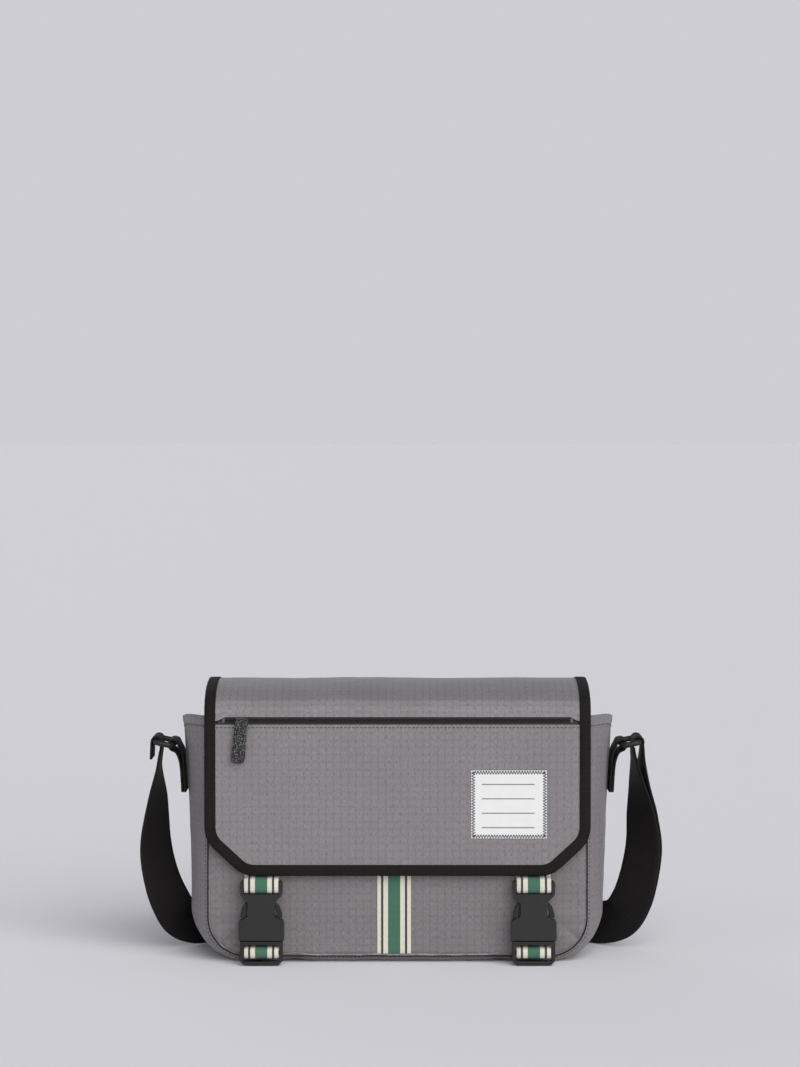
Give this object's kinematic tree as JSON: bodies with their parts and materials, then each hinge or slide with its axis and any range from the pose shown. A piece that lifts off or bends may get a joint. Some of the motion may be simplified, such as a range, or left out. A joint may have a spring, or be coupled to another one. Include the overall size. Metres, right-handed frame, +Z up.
{
  "type": "messenger bag",
  "caption": "Small padded messenger bag with a bound flap, zip pocket, side-release buckles, side rings and an adjustable shoulder strap.",
  "frame": {"origin": "middle of the base, on the surface the bag stands on", "axes": "+X across the bag to the viewer's right, +Y from the flap's front to the back panel, +Z up"},
  "size_m": [0.3882, 0.1315, 0.2055],
  "materials": {
    "ripstop": "padded ripstop nylon, faint grid, slight sheen",
    "binding": "ribbed grosgrain tape",
    "webbing": "flat woven webbing",
    "lining": "plain nylon lining",
    "stripe_tape": "woven striped tape",
    "label": "woven label",
    "pull_leather": "pebbled leather",
    "buckle_plastic": "moulded acetal, satin",
    "board": "sheet plastic",
    "zip_metal": "black enamel"
  },
  "bodies": {
    "bag": {"front_panel": "ripstop", "back_panel": "ripstop", "left_gusset": "ripstop", "right_gusset": "ripstop", "base_panel": "ripstop", "lining": "lining", "base_board": "board", "centre_stripe": "stripe_tape", "left_lower_webbing": "stripe_tape", "right_lower_webbing": "stripe_tape", "left_ring_tab": "binding", "right_ring_tab": "binding", "strap_left_run": "webbing", "strap_right_run": "webbing", "strap_inner_leg": "webbing", "strap_inner_back": "webbing"},
    "flap_top": {"flap_top_panel": "ripstop", "flap_top_lining": "lining", "left_top_binding": "binding", "right_top_binding": "binding"},
    "flap_front": {"flap_welt": "ripstop", "flap_front_panel": "ripstop", "flap_front_lining": "lining", "zip_pocket_bag": "lining", "front_binding": "binding", "label_patch": "label", "zip_upper_tape": "binding", "zip_lower_tape": "binding", "zip_upper_coil": "buckle_plastic", "zip_lower_coil": "buckle_plastic", "zip_left_stop": "zip_metal", "zip_right_stop": "zip_metal", "left_upper_webbing": "stripe_tape", "right_upper_webbing": "stripe_tape"},
    "zip_slider": {"zip_slider": "zip_metal"},
    "zip_pull": {"pull_loop": "zip_metal", "pull_tab": "pull_leather"},
    "left_socket": {"left_socket": "buckle_plastic"},
    "right_socket": {"right_socket": "buckle_plastic"},
    "left_clip": {"left_clip_frame": "buckle_plastic"},
    "right_clip": {"right_clip_frame": "buckle_plastic"},
    "left_inner_arm": {"left_inner_arm": "buckle_plastic"},
    "left_outer_arm": {"left_outer_arm": "buckle_plastic"},
    "right_inner_arm": {"right_inner_arm": "buckle_plastic"},
    "right_outer_arm": {"right_outer_arm": "buckle_plastic"},
    "left_ring": {"left_ring": "buckle_plastic"},
    "right_ring": {"right_ring": "buckle_plastic"},
    "strap_adjuster": {"strap_adjuster": "buckle_plastic", "strap_loop_end": "webbing"}
  },
  "joints": [
    {"name": "flap_hinge", "type": "hinge", "parent": "bag", "child": "flap_top", "pos_m": [0, 0.0469, 0.188], "axis": [-1, 0, 0], "range_deg": [0, 160], "deforming": ["left_inner_arm", "left_outer_arm", "right_inner_arm", "right_outer_arm"]},
    {"name": "flap_fold", "type": "hinge", "parent": "flap_top", "child": "flap_front", "pos_m": [0, -0.0479, 0.195], "axis": [-1, 0, 0], "range_deg": [0, 80], "deforming": ["left_inner_arm", "left_outer_arm", "right_inner_arm", "right_outer_arm"]},
    {"name": "zip_slide", "type": "slide", "parent": "flap_front", "child": "zip_slider", "axis": [1, 0, 0], "range_m": [-0.008, 0.234]},
    {"name": "pull_swing", "type": "hinge", "parent": "zip_slider", "child": "zip_pull", "pos_m": [-0.113, -0.0575, 0.17825], "axis": [-1, 0, 0], "range_deg": [0, 140]},
    {"name": "left_socket_swing", "type": "hinge", "parent": "flap_front", "child": "left_socket", "pos_m": [-0.099, -0.057, 0.0601], "axis": [-1, 0, 0], "range_deg": [0, 80], "deforming": ["left_inner_arm", "left_outer_arm"]},
    {"name": "left_clip_swing", "type": "hinge", "parent": "bag", "child": "left_clip", "pos_m": [-0.099, -0.057, 0.0095], "axis": [1, 0, 0], "range_deg": [0, 30], "deforming": ["left_inner_arm", "left_outer_arm"]},
    {"name": "left_outer_arm_squeeze", "type": "hinge", "parent": "left_clip", "child": "left_outer_arm", "pos_m": [-0.1103, -0.057, 0.019], "axis": [0, 1, 0], "range_deg": [0, 6], "stiffness_Nm_per_rad": 0.05},
    {"name": "left_inner_arm_squeeze", "type": "hinge", "parent": "left_clip", "child": "left_inner_arm", "pos_m": [-0.0877, -0.057, 0.019], "axis": [0, -1, 0], "range_deg": [0, 6], "stiffness_Nm_per_rad": 0.05},
    {"name": "left_ring_swivel", "type": "hinge", "parent": "bag", "child": "left_ring", "pos_m": [-0.166, 0, 0.1565], "axis": [0, 1, 0], "range_deg": [-85, 75], "deforming": ["strap_left_run", "strap_right_run", "strap_inner_leg"]},
    {"name": "right_socket_swing", "type": "hinge", "parent": "flap_front", "child": "right_socket", "pos_m": [0.099, -0.057, 0.0601], "axis": [-1, 0, 0], "range_deg": [0, 80], "deforming": ["right_inner_arm", "right_outer_arm"]},
    {"name": "right_clip_swing", "type": "hinge", "parent": "bag", "child": "right_clip", "pos_m": [0.099, -0.057, 0.0095], "axis": [1, 0, 0], "range_deg": [0, 30], "deforming": ["right_inner_arm", "right_outer_arm"]},
    {"name": "right_outer_arm_squeeze", "type": "hinge", "parent": "right_clip", "child": "right_outer_arm", "pos_m": [0.1103, -0.057, 0.019], "axis": [0, -1, 0], "range_deg": [0, 6], "stiffness_Nm_per_rad": 0.05},
    {"name": "right_inner_arm_squeeze", "type": "hinge", "parent": "right_clip", "child": "right_inner_arm", "pos_m": [0.0877, -0.057, 0.019], "axis": [0, 1, 0], "range_deg": [0, 6], "stiffness_Nm_per_rad": 0.05},
    {"name": "right_ring_swivel", "type": "hinge", "parent": "bag", "child": "right_ring", "pos_m": [0.166, 0, 0.1565], "axis": [0, -1, 0], "range_deg": [-85, 75], "deforming": ["strap_left_run", "strap_right_run", "strap_inner_leg"]},
    {"name": "adjuster_slide", "type": "slide", "parent": "bag", "child": "strap_adjuster", "axis": [1, 0, 0], "range_m": [0, 0.045], "deforming": ["strap_inner_back"]}
  ],
  "couplings": [
    {"joint": "left_inner_arm_squeeze", "follows": "left_outer_arm_squeeze", "ratio": 1},
    {"joint": "right_inner_arm_squeeze", "follows": "right_outer_arm_squeeze", "ratio": 1}
  ]
}
